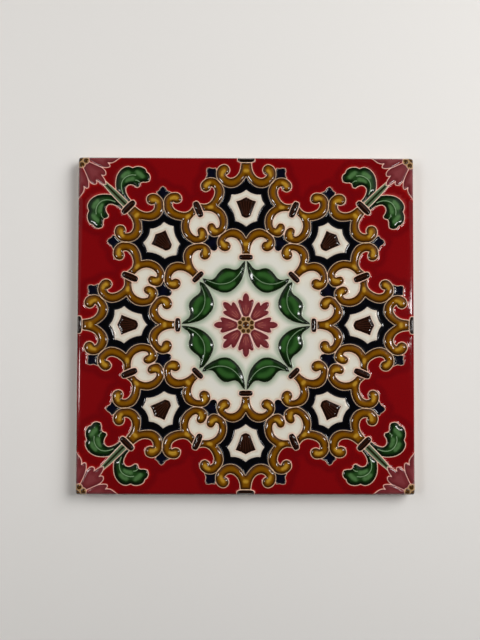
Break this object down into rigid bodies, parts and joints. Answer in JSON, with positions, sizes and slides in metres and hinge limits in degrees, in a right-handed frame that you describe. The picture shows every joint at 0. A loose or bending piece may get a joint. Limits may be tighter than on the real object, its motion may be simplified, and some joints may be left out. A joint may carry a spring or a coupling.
{
  "type": "decorated wall tile",
  "caption": "Square glazed ceramic wall tile with rounded front edges and a moulded relief of scrolls, stars, leaves and a central flower.",
  "frame": {"origin": "centre of the tile's flat back face, which lies on the floor", "axes": "+Z out of the decorated face, square to the tile; +X and +Y along the tile's sides, +Y towards the side that is uppermost in the picture"},
  "size_m": [0.2, 0.2, 0.0103],
  "materials": {
    "glazed_earthenware": "gloss"
  },
  "bodies": {
    "root": {"azulejo_tile": "glazed_earthenware"}
  },
  "joints": []
}
